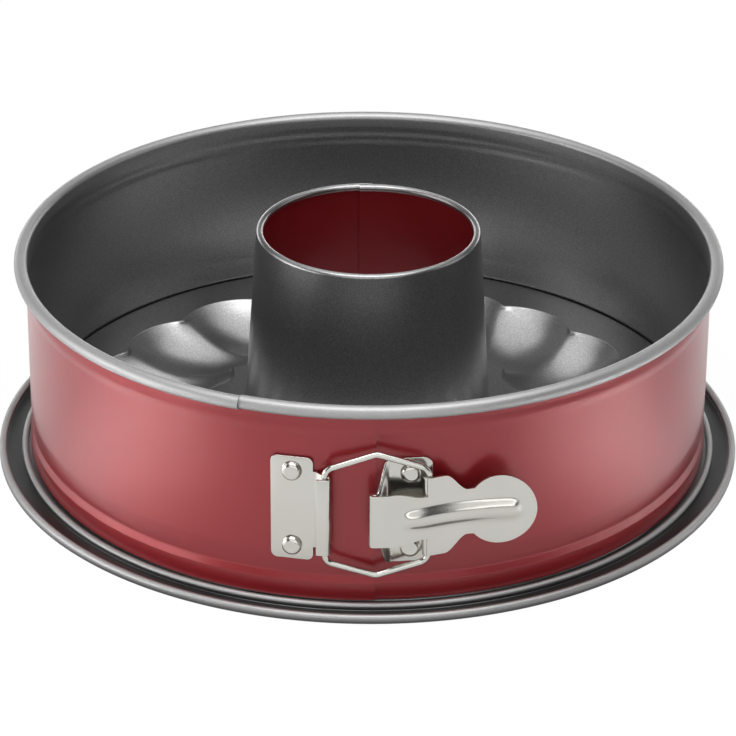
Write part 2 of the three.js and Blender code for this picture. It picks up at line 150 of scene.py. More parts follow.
class ClaspSizes(PropertyGroup):
    """Sizes of the toggle clasp."""

    middle: mm("Middle", "Height of the clasp's middle", 40.0)
    sheet: mm("Sheet", "Thickness of the plates and the lever", 0.8)
    gap: mm("Gap", "Clearance between pieces", 0.3)
    inner_wall: mm("Inner wall", "Outside of the band under the bracket", 130.6)
    outer_wall: mm("Outer wall", "Outside of the band under the bail plate", 131.5)
    wire: mm("Wire", "Radius of the bail's wire", 1.2)
    pivot_arc: mm("Pivot arc", "Bail's pivot, left of the seam", 18.2)
    pivot_rise: mm("Pivot rise", "Bail's pivot over the band", 5.1)
    leg_half: mm("Leg half", "Half height of the bail's legs", 18.4)
    apex_half: mm("Apex half", "Half height of the bail", 24.4)
    bend: mm("Bend", "Radius of the bail's bends", 3.8)
    plate_arc: mm("Plate arc", "Middle of the bail plate, left of the seam", 29.7)
    plate_width: mm("Plate width", "Width of the bail plate", 15.4)
    plate_half: mm("Plate half", "Half height of the bail plate", 20.6)
    plate_corner: mm("Plate corner", "Rounding of the bail plate", 2.4)
    knuckle_half: mm("Knuckle half", "Half height of the knuckle", 15.2)
    knuckle_return: mm("Knuckle return", "How far the knuckle runs back", 2.7)
    bracket_arc: mm("Bracket arc", "Middle of the bracket, right of the seam", 12.2)
    bracket_width: mm("Bracket width", "Width of the bracket", 15.6)
    bracket_half: mm("Bracket half", "Half height of the bracket", 20.8)
    bracket_corner: mm("Bracket corner", "Rounding of the bracket", 3.2)
    flange_bend: mm("Flange bend", "Bend between the bracket and its flange", 1.6)
    flange_lead: number("Flange lead", "Direction from which the flange meets its pin", 30)
    pin_arc: mm("Pin arc", "Lever's pin, left of the seam", 0.6)
    pin_rise: mm("Pin rise", "Lever's pin over the band", 7.8)
    pin: mm("Pin", "Radius of the lever's pin", 1.0)
    curl_wrap: number("Curl wrap", "Degrees that the lever reaches round its pin", 95)
    hook_arc: mm("Hook arc", "Hooked wire, right of the seam", 18.6)
    hook_rise: mm("Hook rise", "Hooked wire over the band", 5.3)
    hook_wrap: number("Hook wrap", "Degrees that a hook reaches round the wire", 70)
    lever_half: mm("Lever half", "Half height of the lever's body", 10.3)
    waist_half: mm("Waist half", "Half height of the lever's waist", 8.4)
    waist_reach: mm("Waist reach", "Waist, before the hooks", 2)
    waist_taper: mm("Waist taper", "Length of the taper to the waist", 9)
    wing_half: mm("Wing half", "Half height of the lever's wings", 15.6)
    wing_lead: mm("Wing lead", "Wings, before the hooks", 0.5)
    wing_width: mm("Wing width", "Width of the wings", 6.8)
    neck_half: mm("Neck half", "Half height of the lever's neck", 9)
    neck_reach: mm("Neck reach", "Neck, past the hooks", 14.2)
    thumb_half: mm("Thumb half", "Half height of the thumb plate", 13.6)
    thumb_length: mm("Thumb length", "Half length of the thumb plate", 12.2)
    thumb_reach: mm("Thumb reach", "Middle of the thumb plate, past the hooks", 25.6)
    lever_slope: number("Lever slope", "How fast the lever nears the wall at the hooks", 0.25)
    lever_flare: number("Lever flare", "How fast the lever bends away to the thumb plate, per metre", 9.7)
    rib_half: mm("Rib half", "Half width of the pressed rib", 5)
    rib_height: mm("Rib height", "Height of the pressed rib", 1.6)
    rib_start: mm("Rib start", "Start of the rib, before the hooks", 10.5)
    rib_end: mm("Rib end", "End of the rib, past the thumb's middle", 8)
    rivet_spacing: mm("Rivet spacing", "Between the two rivets of a plate", 30)
    rivet_head: mm("Rivet head", "Radius of a rivet's head", 3.7)
    rivet_flat: mm("Rivet flat", "Radius of the head's level top", 1.9)
    rivet_dome: mm("Rivet dome", "Height of the head", 1.8)
    rivet_shank: mm("Rivet shank", "Radius of the shank", 1.3)


class PanFinishes(PropertyGroup):
    """Colours of the finishes."""

    red: colour("Red", "Enamel outside", (0.26, 0.006, 0.011))
    grey: colour("Grey", "Non-stick coating inside", (0.33, 0.33, 0.33))
    nickel: colour("Nickel", "Plating of the clasp", (0.62, 0.61, 0.57))


class StageSettings(PropertyGroup):
    """Camera."""

    distance: mm("Distance", "Camera to the point it looks at", 1382.3)
    target: mm("Target", "Height of the point the camera looks at", 30)
    elevation: number("Elevation", "Camera above the horizon", 26.806)
    azimuth: number("Azimuth", "Camera round to the left of the seam", 1.34)
    roll: number("Roll", "Camera's roll", 0.392)
    lens: number("Lens", "Focal length in millimetres", 174.21)


# Plan and section helpers. A plan point is (x, out), with out the distance from the axis towards the clasp.


def along(arc, radius):
    """Turn in degrees of an arc length on a radius."""
    return degrees(arc / radius)


def plan(turn, radius):
    """Plan point at a turn and a radius."""
    return Vector((radius * sin(radians(turn)), radius * cos(radians(turn))))


def arc(centre, radius, start, end, steps):
    """Points on an arc in a plane, by angles in degrees."""
    turns = [radians(start + (end - start) * i / steps) for i in range(steps + 1)]
    return [Vector((centre[0] + radius * cos(t), centre[1] + radius * sin(t))) for t in turns]


def filleted(corners, steps=5):
    """A path through corners given as (x, y, radius), with each corner rounded by its radius."""
    path = []
    for i, (x, y, radius) in enumerate(corners):
        here = Vector((x, y))
        if radius == 0 or i in (0, len(corners) - 1):
            path.append(here)
            continue
        back = (Vector(corners[i - 1][:2]) - here).normalized()
        ahead = (Vector(corners[i + 1][:2]) - here).normalized()
        half = acos(max(-1, min(1, back.dot(ahead)))) / 2
        middle = here + (back + ahead).normalized() * (radius / sin(half))
        first = here + back * (radius / tan(half)) - middle
        last = here + ahead * (radius / tan(half)) - middle
        sweep = first.angle_signed(last)
        path += [middle + Matrix.Rotation(-sweep * k / steps, 2) @ first for k in range(steps + 1)]
    return path


def smooth_step(value, low, high):
    """0 below low, 1 above high, and an easy slope between."""
    t = max(0, min(1, (value - low) / (high - low)))
    return t * t * (3 - 2 * t)


def mix(a, b, share):
    """Value between two others."""
    return a + (b - a) * share


def evenly(a, b, steps):
    """Values from one to another in even steps."""
    return [mix(a, b, i / steps) for i in range(steps + 1)]


# Mesh helpers


def path_edges(bm, points):
    """Vertices and edges along 3-D points."""
    verts = [bm.verts.new(p) for p in points]
    edges = [bm.edges.new(pair) for pair in zip(verts, verts[1:])]
    return verts + edges


def edges_of(geom):
    """The edges in a mixed list of points, edges and faces."""
    return [g for g in geom if isinstance(g, bmesh.types.BMEdge)]


def extruded(bm, edges):
    """Points and edges of a new row, pulled out of a row of edges."""
    made = bmesh.ops.extrude_edge_only(bm, edges=edges)["geom"]
    verts = [g for g in made if isinstance(g, bmesh.types.BMVert)]
    return verts, [e for e in edges_of(made) if all(v in verts for v in e.verts)]


def weld(bm, distance=WELD):
    """Joins the points that lie on each other."""
    bmesh.ops.remove_doubles(bm, verts=bm.verts[:], dist=distance)


def turned(bm, turn):
    """Turns a mesh about the axis."""
    bmesh.ops.rotate(bm, verts=bm.verts[:], matrix=Matrix.Rotation(radians(turn), 3, "Z"))


def spun_sheet(path, start, sweep, step, wind=None):
    """Open sheet made by spinning a path of (radius, height). Columns move out by wind(turn)."""
    bm = bmesh.new()
    geom = path_edges(bm, [(0, -p[0], p[1]) for p in path])
    steps = ceil(sweep / step - ROUNDING)
    whole = sweep == 360 and not wind
    bmesh.ops.spin(bm, geom=geom, axis=(0, 0, 1), angle=radians(sweep), steps=steps, use_merge=whole)
    if whole:
        weld(bm)
    else:
        for i, vert in enumerate(bm.verts):
            vert.co += outward(vert.co) * wind(start + sweep * (i // len(path)) / steps)
    turned(bm, start)
    return bm


def facing(bm, towards):
    """One side of an open sheet for all its faces: the side that towards(centre) points to."""
    bmesh.ops.recalc_face_normals(bm, faces=bm.faces[:])
    bm.normal_update()
    score = sum(f.normal.dot(towards(f.calc_center_median())) * f.calc_area() for f in bm.faces)
    if score < 0:
        bmesh.ops.reverse_faces(bm, faces=bm.faces[:])


def outward(centre):
    """Direction away from the axis."""
    return Vector((centre.x, centre.y, 0)).normalized()


def linked(name, data):
    """New object in the scene."""
    obj = bpy.data.objects.new(name, data)
    bpy.context.scene.collection.objects.link(obj)
    return obj


def piece(name, bm, materials, sharp=40):
    """Object at the origin from a bmesh, smooth but for its sharp edges."""
    mesh = bpy.data.meshes.new(name)
    bm.to_mesh(mesh)
    bm.free()
    mesh.polygons.foreach_set("use_smooth", [True] * len(mesh.polygons))
    mesh.set_sharp_from_angle(angle=radians(sharp))
    for material in materials:
        mesh.materials.append(material)
    return linked(name, mesh)


def thickened(obj, thickness, back=0, edge=0, bevel=0.0):
    """Gives a sheet its thickness, the materials of its back and its edge, and any rounding of its edges."""
    solid = obj.modifiers.new("Sheet", "SOLIDIFY")
    solid.thickness = thickness
    solid.offset = 0
    solid.use_even_offset = True
    solid.material_offset = back
    solid.material_offset_rim = edge
    if bevel:
        round_off = obj.modifiers.new("Edges", "BEVEL")
        round_off.width = bevel
        round_off.segments = 2
        round_off.limit_method = "ANGLE"
        round_off.angle_limit = radians(SHARP)
    settled = bpy.data.meshes.new_from_object(obj.evaluated_get(bpy.context.evaluated_depsgraph_get()))
    old = obj.data
    obj.modifiers.clear()
    obj.data = settled
    bpy.data.meshes.remove(old)
    settled.name = obj.name
    settled.set_sharp_from_angle(angle=radians(SHARP))
    return obj


def on_body(obj, body, slot, *nodes):
    """Lets a piece ride on its body in place of CAD nodes."""
    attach(obj, body)
    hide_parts(*nodes)


# Shader helpers


class Signal:
    """A node's output that takes part in Python expressions, each of which adds a Math node."""

    def __init__(self, finish, socket):
        self.finish = finish
        self.socket = socket

    def combine(self, operation, first, second):
        """Math node on two values."""
        return self.finish.node("ShaderNodeMath", {"operation": operation}, {0: first, 1: second})

    def __add__(self, other):
        return self.combine("ADD", self, other)

    def __sub__(self, other):
        return self.combine("SUBTRACT", self, other)

    def __rsub__(self, other):
        return self.combine("SUBTRACT", other, self)

    def __mul__(self, other):
        return self.combine("MULTIPLY", self, other)

    __radd__, __rmul__ = __add__, __mul__


class Finish:
    """A material's node tree, with one method that adds any node."""

    def __init__(self, tree):
        self.tree = tree
        tree.nodes.clear()

    def node(self, kind, settings=None, sockets=None, output=0):
        """Adds a node, with settings and with values or links for its sockets, and gives an output."""
        made = self.tree.nodes.new(kind)
        for name, value in (settings or {}).items():
            if name == "stops":
                for stop, (position, grey) in zip(made.color_ramp.elements, value):
                    stop.position = position
                    stop.color = (grey, grey, grey, 1)
            else:
                setattr(made, name, value)
        for name, value in (sockets or {}).items():
            if isinstance(value, Signal):
                self.tree.links.new(value.socket, made.inputs[name])
            else:
                made.inputs[name].default_value = value
        return Signal(self, made.outputs[output])

    def noise(self, scale, detail=2.0, stretch=(1, 1, 1)):
        """Noise on Object coordinates, with its scale in cells to the metre."""
        place = self.node("ShaderNodeTexCoord", output="Object")
        mapped = self.node("ShaderNodeMapping", {}, {"Vector": place, "Scale": stretch})
        return self.node("ShaderNodeTexNoise", {}, {"Vector": mapped, "Scale": scale, "Detail": detail})

    def tinted(self, share, low, high):
        """Colour between two others by a value."""
        low, high = (end if isinstance(end, Signal) else (*end, 1) for end in (low, high))
        return self.node("ShaderNodeMix", {"data_type": "RGBA"}, {0: share, 6: low, 7: high}, output=2)

    def ramp(self, value, low, high):
        """0 at low, 1 at high, and an even slope between."""
        return self.node("ShaderNodeMapRange", {}, {"Value": value, "From Min": low, "From Max": high})

    def bump(self, height, strength, distance):
        """Normal from a height."""
        return self.node("ShaderNodeBump", {}, {"Height": height, "Strength": strength, "Distance": distance})

    def surface(self, shader, kind="ShaderNodeOutputMaterial"):
        """Links a shader to the output."""
        out = self.tree.nodes.new(kind)
        self.tree.links.new(shader.socket, out.inputs["Surface"])


def new_finish(name):
    """A new material and its empty finish."""
    material = bpy.data.materials.new(name)
    material.use_nodes = True
    return material, Finish(material.node_tree)


def shades(rgb, low, high):
    """A colour darkened and lightened."""
    return [tuple(c * low for c in rgb), tuple(c * high for c in rgb)]


def red_enamel():
    """Satin red enamel: fine metallic grain under a clear gloss."""
    if "red enamel" in bpy.data.materials:
        return bpy.data.materials["red enamel"]
    material, finish = new_finish("red enamel")
    rgb = bpy.context.scene.pan_finishes.red
    grain = finish.noise(scale=2600)
    drift = finish.noise(scale=9)
    shader = finish.node("ShaderNodeBsdfPrincipled", {}, {
        "Base Color": finish.tinted(grain * 0.6 + drift * 0.4, *shades(rgb, low=0.8, high=1.2)),
        "Metallic": 0.5,
        "Roughness": 0.4 + drift * 0.06,
        "Coat Weight": 0.85,
        "Coat Roughness": 0.2,
        "Normal": finish.bump(grain, strength=0.05, distance=0.05 * MM),
    })
    finish.surface(shader)
    return material


def grey_coating():
    """Dark flecked non-stick coating, with painted shade in the drip channel and a painted highlight on the
    rolled edges, which are also rougher.
    """
    if "grey coating" in bpy.data.materials:
        return bpy.data.materials["grey coating"]
    material, finish = new_finish("grey coating")
    rgb = bpy.context.scene.pan_finishes.grey
    # Radii and heights over which the painted shade, the painted highlight and the roughness change
    outer_wall = (129.5 * MM, 131 * MM)
    channel_floor = (2.6 * MM, 0.9 * MM)
    lip_top = (4 * MM, 3.5 * MM)
    rim_foot = (76 * MM, 77 * MM)
    fleck = finish.noise(scale=2300, detail=3)
    patch = finish.noise(scale=14)
    place = finish.node("ShaderNodeTexCoord", output="Object")
    across, deep, height = (finish.node("ShaderNodeSeparateXYZ", {}, {0: place}, output=i) for i in range(3))
    outside = finish.ramp(across * across + deep * deep, *(radius ** 2 for radius in outer_wall))
    # Mask of the drip channel, where the coating's colour is darkened as painted shade
    channel = outside * finish.ramp(height, *channel_floor)
    edges = finish.ramp(height, *lip_top) + finish.ramp(height, *rim_foot)
    # Mask of the rolled lip, ridge and rim: a painted highlight in their colour, and more roughness
    rolled = outside * (1.0 - channel) * edges
    shade = finish.node("ShaderNodeValToRGB", {"stops": [(0.38, 0.0), (0.66, 1.0)]}, {"Fac": fleck})
    coat = finish.tinted(shade * 0.8 + patch * 0.2, *shades(rgb, low=0.78, high=1.3))
    # The darker colour is painted shade for the channel; the lighter one is a painted highlight for the
    # rolled edges
    drip, painted_edge_highlight = shades(rgb, low=0.3, high=1.4)
    shader = finish.node("ShaderNodeBsdfPrincipled", {}, {
        # Base colour carries painted shade in the channel and a painted highlight on the rolled edges
        "Base Color": finish.tinted(channel, finish.tinted(rolled * 0.6, coat, painted_edge_highlight), drip),
        "Metallic": 1.0,
        "Roughness": 0.27 + fleck * 0.1 + rolled * 0.22,
        "Normal": finish.bump(fleck, strength=0.16, distance=0.08 * MM),
    })
    finish.surface(shader)
    return material


def nickel_plate():
    """Bright nickel over rolled sheet, with a faint draw line and soft wear."""
    if "nickel plate" in bpy.data.materials:
        return bpy.data.materials["nickel plate"]
    material, finish = new_finish("nickel plate")
    rgb = bpy.context.scene.pan_finishes.nickel
    line = finish.noise(scale=900, detail=3, stretch=(1, 1, 0.06))
    patch = finish.noise(scale=60, detail=3)
    shader = finish.node("ShaderNodeBsdfPrincipled", {}, {
        "Base Color": finish.tinted(patch, *shades(rgb, low=0.94, high=1.05)),
        "Metallic": 1.0,
        "Roughness": 0.13 + patch * 0.06 + line * 0.08,
        "Normal": finish.bump(line, strength=0.05, distance=0.05 * MM),
    })
    finish.surface(shader)
    return material


# Pieces


class PAN_OT_spring_band(Operator):
    """Makes the spring band: one strip with a bead, a rolled rim and lapped ends"""

    bl_idname = "pan.spring_band"
    bl_label = "Spring band"

    bead_fillet = 0.5 * MM
    neck_fillet = 3.2 * MM
    blend_fillet = 9 * MM
    notch_lead = 0.05 * MM  # before the lap
    swell_steps = 5
    rim_steps = 26

    def section(self, size):
        """Path of the strip's middle, from its bottom edge to the end of the rim's roll."""
        wall = size.radius + size.sheet / 2
        roll = size.rim_radius - size.sheet / 2
        lower = filleted([
            (wall + size.foot_flare, size.bottom, 0),
            (wall + size.bead_bulge, size.bead, self.bead_fillet),
            (wall - size.neck_depth, size.neck, self.neck_fillet),
            (wall, size.neck + size.neck_blend, self.blend_fillet),
            (wall, size.swell - size.swell_half, 0),
        ])
        shares = evenly(-1, 1, 2 * self.swell_steps)[1:]
        swell = [Vector((wall + size.swell_depth * (1 + cos(pi * t)) / 2, size.swell + size.swell_half * t))
                 for t in shares]
        rim = arc((wall + roll, size.rim), roll, 180, 180 - size.rim_wrap, self.rim_steps)
        return lower + swell + rim

    def strip(self, size, name, start, end, notch=False):
        """Stretch of the strip between two turns, winding out near its end, with the rim notched if asked."""
        lap = 360 - size.lap
        shift = size.sheet + size.lap_gap
        bm = spun_sheet(self.section(size), start, end - start, size.step,
                        lambda turn: shift * smooth_step(turn, lap - size.wind, lap))
        if notch:
            low = size.rim - size.rim_radius - size.lap_gap
            cut = plan(lap - along(self.notch_lead, size.radius), 1)
            side = Vector((-cut.y, -cut.x, 0))
            for place, across in (((0, 0, 0), side), ((0, 0, low), (0, 0, 1))):
                bmesh.ops.bisect_plane(bm, geom=bm.verts[:] + bm.edges[:] + bm.faces[:],
                                       plane_co=place, plane_no=across)
            gone = [f for f in bm.faces if (at := f.calc_center_median()).z > low and at.dot(side) < 0]
            bmesh.ops.delete(bm, geom=gone, context="FACES")
        facing(bm, outward)
        obj = piece(name, bm, [red_enamel(), grey_coating()])
        return thickened(obj, size.sheet, back=1, edge=1)

    def execute(self, context):
        size = context.scene.pan_band
        strip = self.strip(size, "spring_band", -size.lap, size.split)
        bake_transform(strip)
        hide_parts("band_right", "band_left")
        outer = self.strip(size, "spring_band_outer_end", size.split, 360, notch=True)
        on_body(outer, "ring_left", "red_enamel", "band_left")
        return {"FINISHED"}


class PAN_OT_fluted_base(Operator):
    """Makes the base: swirled scoops, a level edge, a drip channel and a rolled lip"""

    bl_idname = "pan.fluted_base"
    bl_label = "Fluted base"

    rows = 30
    columns = 16
    hole_rings = (0, 4 * MM, 8 * MM)  # level rings past the hole
    guard = 0.3 * MM
    outer_rings = (guard, 2 * MM, 7 * MM)  # level rings past the scoops
    groove_fillet = 0.4 * MM
    channel_fillet = 0.7 * MM
    roundness = 0.98  # of the ridge and the lip
    smoothed = 0.97  # share of a scoop's length that is smoothed
    rounds = 6

    def span(self, size):
        """Middle radius and half length of the scoops."""
        return (size.flute_inner + size.flute_outer) / 2, (size.flute_outer - size.flute_inner) / 2

    def section(self, size):
        """Path of the sheet's middle, from the hole to the lip, with the scoops still level."""
        half = size.sheet / 2
        level = size.plateau - half
        edge = size.edge - half
        middle, reach = self.span(size)
        radii = [size.hole + out for out in self.hole_rings] + [size.flute_inner - self.guard]
        radii += [middle - reach * cos(pi * i / self.rows) for i in range(self.rows + 1)]
        radii += [size.flute_outer + out for out in self.outer_rings]
        lip_outer = size.lip_inner + size.lip_width - half
        ridge = size.ridge_half - half
        lip = (size.lip_width - size.sheet) / 2
        return filleted([
            *((radius, level, 0) for radius in radii),
            (edge, level, size.edge_fillet),
            (edge, size.groove + half, size.edge_fillet),
            (size.ridge - ridge, size.groove + half, self.groove_fillet),
            (size.ridge - ridge, size.ridge_height - half, ridge * self.roundness),
            (size.ridge + ridge, size.ridge_height - half, ridge * self.roundness),
            (size.ridge + ridge, half, self.channel_fillet),
            (lip_outer - 2 * lip, half, self.channel_fillet),
            (lip_outer - 2 * lip, size.lip_height - half, lip * self.roundness),
            (lip_outer, size.lip_height - half, lip * self.roundness),
            (lip_outer, half, 0),
        ])

    def press(self, size, bm):
        """Presses the round scoops, each widest and deepest in the middle of its pitch."""
        level = size.plateau - size.sheet / 2
        middle, reach = self.span(size)
        rim = size.edge - size.sheet / 2 - size.edge_fillet
        pitch = 360 / size.flutes
        pressed = []
        for vert in bm.verts:
            radius = hypot(vert.co.x, vert.co.y)
            if radius > rim or abs(vert.co.z - level) > ON_PLACE:
                continue
            turn = degrees(atan2(vert.co.x, -vert.co.y))
            across = ((turn - size.flute_turn) / pitch) % 1 - 0.5
            width = sqrt(1 - (2 * across * size.flute_overlap) ** 2)
            share = (radius - middle) / reach
            lean = size.flute_swirl * max(0, min(1, (1 - share) / 2))
            if abs(share) <= 1 + ROUNDING:
                radius = middle + reach * width * share
                vert.co.z = level - size.flute_depth * width ** 2 * (1 - share * share)
                if abs(share) < self.smoothed:
                    pressed.append(vert)
            elif share > 1:
                past = (radius - size.flute_outer) / (rim - size.flute_outer)
                radius = mix(middle + reach * width, rim, past)
            else:
                past = (radius - size.hole) / (size.flute_inner - size.hole)
                radius = mix(size.hole, middle - reach * width, past)
            at = plan(turn - lean, radius)
            vert.co.xy = (at.x, -at.y)
        for _ in range(self.rounds):
            bmesh.ops.smooth_vert(bm, verts=pressed, factor=0.5,
                                  use_axis_x=True, use_axis_y=True, use_axis_z=True)

    def execute(self, context):
        size = context.scene.pan_base
        bm = spun_sheet(self.section(size), size.flute_turn, 360, 360 / (size.flutes * self.columns))
        self.press(size, bm)
        facing(bm, lambda centre: Vector((0, 0, 1)))
        obj = piece("fluted_base", bm, [grey_coating(), red_enamel()])
        thickened(obj, size.sheet, back=1)
        on_body(obj, "tube_base", "grey_nonstick", "base_disc")
        return {"FINISHED"}


class PAN_OT_centre_tube(Operator):
    """Makes the tube: a rolled cone with a lapped seam, a foot flange and an inward curl"""

    bl_idname = "pan.centre_tube"
    bl_label = "Centre tube"

    flange_fillet = 0.6 * MM
    curl_wrap = 290
    curl_steps = 20
    seam_gap = 0.2 * MM
    step = 2

    def execute(self, context):
        size = context.scene.pan_tube
        half = size.sheet / 2
        roll = size.curl - half
        wall, top = size.top_radius - half, size.top - size.curl
        path = filleted([
            (size.foot_radius - half + size.flange, size.foot, 0),
            (size.foot_radius - half, size.foot, self.flange_fillet),
            (wall, top, 0),
        ])
        path += arc((wall - roll, top), roll, 0, self.curl_wrap, self.curl_steps)[1:]
        inward = size.sheet + self.seam_gap
        bm = spun_sheet(path, size.seam_turn, 360 + size.seam_lap, self.step,
                        lambda turn: -inward * (turn - size.seam_turn) / 360)
        facing(bm, outward)
        obj = piece("centre_tube", bm, [grey_coating(), red_enamel()])
        thickened(obj, size.sheet, back=1)
        on_body(obj, "tube_base", "grey_nonstick", "tube")
        return {"FINISHED"}


# Clasp


class ClaspPlan:
    """Places of the clasp's pivots in plan, worked out from its sizes."""

    def __init__(self, size):
        self.pivot_radius = size.outer_wall + size.pivot_rise
        self.pivot_turn = -along(size.pivot_arc, self.pivot_radius)
        self.pin_radius = size.inner_wall + size.pin_rise
        self.pin_turn = -along(size.pin_arc, size.inner_wall)
        self.hook_radius = size.inner_wall + size.hook_rise
        self.hook_turn = along(size.hook_arc, self.hook_radius)
        self.plate_turn = -along(size.plate_arc, size.outer_wall)
        self.bracket_turn = along(size.bracket_arc, size.inner_wall)
        self.eye = size.wire + size.gap + size.sheet / 2
        self.curl = size.pin + size.gap + size.sheet / 2
        self.pin_reach = radians(self.pin_turn - self.hook_turn) * self.hook_radius


def strip_grid(bm, stations):
    """Sheet through columns of 3-D points, each pulled out of the one before."""
    edges = edges_of(path_edges(bm, stations[0]))
    for column in stations[1:]:
        verts, edges = extruded(bm, edges)
        for vert, place in zip(verts, column):
            vert.co = place
    return bm


def upright(at, heights):
    """Column of points over a plan point."""
    return [Vector((at.x, -at.y, z)) for z in heights]


def rounded_corners(bm, corners, radius):
    """Rounds the sheet's corners that lie at given points."""
    verts = [v for v in bm.verts if any((v.co - c).length < ON_PLACE for c in corners)]
    bmesh.ops.bevel(bm, geom=verts, offset=radius, offset_type="OFFSET", segments=6, profile=0.5,
                    affect="VERTICES", material=-1)


def plated_sheet(name, bm, sheet, body, node):
    """Nickel-plated sheet with rounded edges, on its body in place of a CAD node."""
    facing(bm, outward)
    obj = thickened(piece(name, bm, [nickel_plate()]), sheet, bevel=EDGE_ROUND)
    on_body(obj, body, "nickel", node)


class PAN_OT_bail_plate(Operator):
    """Makes the bail plate, with a knuckle rolled round the wire"""

    bl_idname = "pan.bail_plate"
    bl_label = "Bail plate"

    knuckle_lead = 1.2 * MM
    knuckle_fillet = 1.5 * MM
    eye_fillet = 1.2 * MM
    bend_steps = 4
    eye_steps = 20

    def execute(self, context):
        size = context.scene.pan_clasp
        place = ClaspPlan(size)
        level = size.outer_wall + size.gap + size.sheet / 2
        eye = plan(place.pivot_turn - place.plate_turn, place.pivot_radius)
        left, right = -size.plate_width / 2, size.plate_width / 2
        halves = (-size.plate_half, -size.knuckle_half, 0, size.knuckle_half, size.plate_half)
        heights = [size.middle + half for half in halves]
        bm = bmesh.new()
        strip_grid(bm, [upright(Vector((x, level)), heights) for x in (left, (left + right) / 2, right)])
        corners = [Vector((x, -level, z)) for x in (left, right) for z in (heights[0], heights[-1])]
        wrap = filleted([
            (right, level, 0),
            (right + self.knuckle_lead, level, self.knuckle_fillet),
            (eye.x - self.knuckle_lead, eye.y - place.eye, self.eye_fillet),
            (eye.x, eye.y - place.eye, 0),
        ], self.bend_steps)
        wrap += arc(eye, place.eye, -90, 90, self.eye_steps)[1:]
        wrap.append(Vector((eye.x - size.knuckle_return, eye.y + place.eye)))
        strip_grid(bm, [upright(p, heights[1:-1]) for p in wrap])
        weld(bm)
        rounded_corners(bm, corners, size.plate_corner)
        turned(bm, place.plate_turn)
        plated_sheet("bail_plate_sheet", bm, size.sheet, "ring_left", "bail_plate")
        return {"FINISHED"}


class PAN_OT_lever_bracket(Operator):
    """Makes the lever bracket, with a flange that carries the lever's pin"""

    bl_idname = "pan.lever_bracket"
    bl_label = "Lever bracket"

    steps = 20
    shares = (-1, -0.5, 0, 0.5, 1)  # of the half height
    taper = (0.2, 0.9)  # as shares of the flange's length
    flange_inset = 0.3 * MM
    pin_sides = 24
    pin_round = 0.25 * MM

    def execute(self, context):
        size = context.scene.pan_clasp
        place = ClaspPlan(size)
        level = size.inner_wall + size.gap + size.sheet / 2
        pin = plan(place.pin_turn - place.bracket_turn, place.pin_radius)
        lead = Vector((cos(radians(size.flange_lead)), -sin(radians(size.flange_lead))))
        right = size.bracket_width / 2
        bend = Vector((size.flange_bend - right, level))
        knots = [bend, bend - Vector((2 * size.flange_bend, 0)), pin + lead * (pin.y - level) / 2, pin]
        stations = [(Vector((x, level)), size.bracket_half) for x in (right, right / 2, 0)]
        for t in (i / self.steps for i in range(self.steps + 1)):
            weights = ((1 - t) ** 3, 3 * t * (1 - t) ** 2, 3 * t * t * (1 - t), t ** 3)
            at = sum((k * w for k, w in zip(knots, weights)), Vector((0, 0)))
            end = size.lever_half - self.flange_inset
            stations.append((at, mix(size.bracket_half, end, smooth_step(t, *self.taper))))
        columns = [upright(at, [size.middle + half * v for v in self.shares]) for at, half in stations]
        bm = strip_grid(bmesh.new(), columns)
        rounded_corners(bm, [columns[0][0], columns[0][-1]], size.bracket_corner)
        turned(bm, place.bracket_turn)
        plated_sheet("lever_bracket_sheet", bm, size.sheet, "ring_right", "lever_bracket")
        bm = bmesh.new()
        bmesh.ops.create_cone(bm, cap_ends=True, segments=self.pin_sides, radius1=size.pin, radius2=size.pin,
                              depth=2 * size.lever_half)
        ends = [e for e in bm.edges if abs(e.verts[0].co.z - e.verts[1].co.z) < WELD]
        bmesh.ops.bevel(bm, geom=ends, offset=self.pin_round, segments=3, profile=0.5, affect="EDGES",
                        material=-1)
        at = plan(place.pin_turn, place.pin_radius)
        bmesh.ops.translate(bm, verts=bm.verts[:], vec=(at.x, -at.y, size.middle))
        on_body(piece("lever_pin", bm, [nickel_plate()]), "ring_right", "nickel", "lever_bracket")
        return {"FINISHED"}


